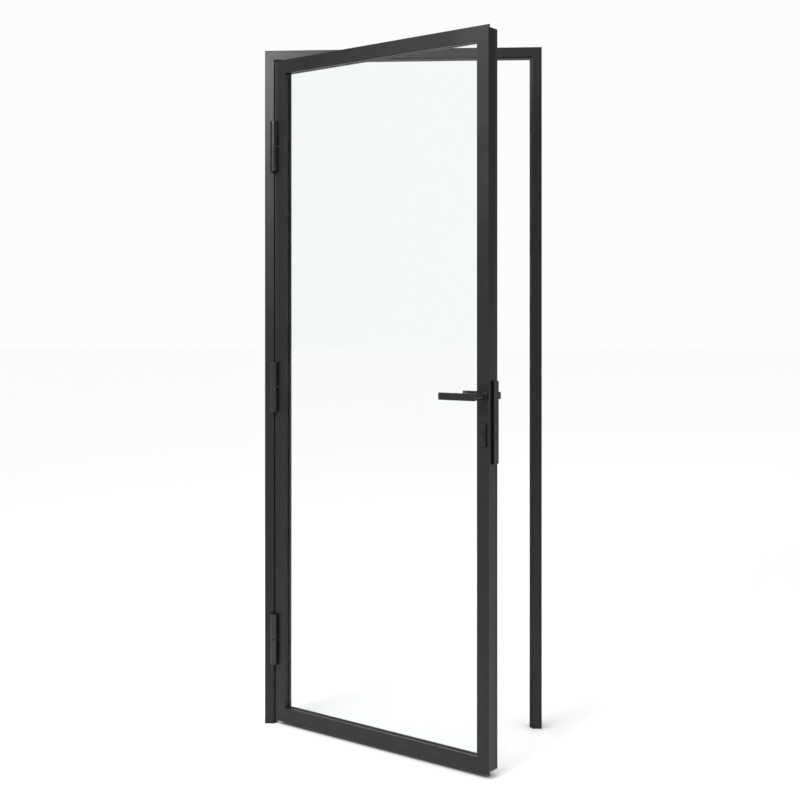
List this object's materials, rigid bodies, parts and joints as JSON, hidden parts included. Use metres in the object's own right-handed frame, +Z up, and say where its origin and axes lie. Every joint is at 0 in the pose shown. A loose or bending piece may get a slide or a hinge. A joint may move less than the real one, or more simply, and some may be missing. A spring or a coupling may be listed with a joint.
{
  "type": "glazed steel door with frame",
  "caption": "Slim black steel framed glass door standing ajar in its own steel frame, with barrel hinges, lever handles and a cylinder lock.",
  "frame": {"origin": "middle of the hinge jamb's foot, on the floor", "axes": "+Z up; +X across the doorway from the hinge jamb to the lock jamb; +Y from the hinge face to the back"},
  "size_m": [0.86, 0.5416, 2.1],
  "materials": {
    "steel": "satin powder coat, fine texture",
    "hinge_steel": "satin paint",
    "fittings": "satin black coat",
    "rubber": "matte",
    "bare_steel": "satin nickel",
    "zinc": "zinc plated",
    "glass": "clear"
  },
  "bodies": {
    "frame": {"hinge_jamb": "steel", "lock_jamb": "steel", "frame_head": "steel", "hinge_foot_plate": "steel", "lock_foot_plate": "steel", "frame_seal": "rubber", "strike_plate": "fittings", "strike_screws": "fittings", "strike_lugs": "zinc", "frame_knuckle_low": "hinge_steel", "frame_knuckle_mid": "hinge_steel", "frame_knuckle_top": "hinge_steel", "hinge_pin_low": "bare_steel", "hinge_pin_mid": "bare_steel", "hinge_pin_top": "bare_steel", "hinge_washer_low": "rubber", "hinge_washer_mid": "rubber", "hinge_washer_top": "rubber"},
    "leaf": {"hinge_stile": "steel", "lock_stile": "steel", "top_rail": "steel", "bottom_rail": "steel", "leaf_knuckle_low": "hinge_steel", "leaf_knuckle_mid": "hinge_steel", "leaf_knuckle_top": "hinge_steel", "glass_pane": "glass", "front_gasket": "rubber", "rear_gasket": "rubber", "setting_blocks": "rubber", "bead_hinge_side": "steel", "bead_lock_side": "steel", "bead_top": "steel", "bead_bottom": "steel", "bead_screws": "fittings", "leaf_seal": "rubber", "lock_case": "zinc", "lock_cover": "zinc", "lock_faceplate": "fittings", "faceplate_screws": "fittings", "cylinder_body": "fittings", "cylinder_screw": "fittings", "front_rosette": "fittings", "rear_rosette": "fittings", "front_escutcheon": "fittings", "rear_escutcheon": "fittings"},
    "handle": {"front_lever": "fittings", "rear_lever": "fittings", "spindle": "zinc", "follower": "zinc", "lever_grub_screws": "bare_steel"},
    "latch": {"latch_bolt": "fittings"},
    "bolt": {"dead_bolt": "fittings"},
    "plug": {"front_plug": "fittings", "rear_plug": "fittings", "cylinder_cam": "zinc"}
  },
  "joints": [
    {"name": "door_swing", "type": "hinge", "parent": "frame", "child": "leaf", "pos_m": [0.015, -0.031, 1.05], "axis": [0, 0, -1], "range_deg": [-34, 86]},
    {"name": "handle_turn", "type": "hinge", "parent": "leaf", "child": "handle", "pos_m": [0.6632, -0.46219, 1.048], "axis": [-0.5592, -0.829, 0], "range_deg": [0, 40], "stiffness_Nm_per_rad": 1.2, "springref_deg": -22.92},
    {"name": "latch_slide", "type": "slide", "parent": "leaf", "child": "latch", "axis": [0.829, -0.5592, 0], "range_m": [0, 0.008], "stiffness_N_per_m": 30, "springref_m": -0.003},
    {"name": "plug_turn", "type": "hinge", "parent": "leaf", "child": "plug", "pos_m": [0.6632, -0.46219, 0.948], "axis": [-0.5592, -0.829, 0], "range_deg": [0, 360]},
    {"name": "bolt_slide", "type": "slide", "parent": "leaf", "child": "bolt", "axis": [0.829, -0.5592, 0], "range_m": [0, 0.014]}
  ],
  "couplings": [
    {"joint": "bolt_slide", "follows": "plug_turn", "m_per_rad": 0.002228}
  ]
}
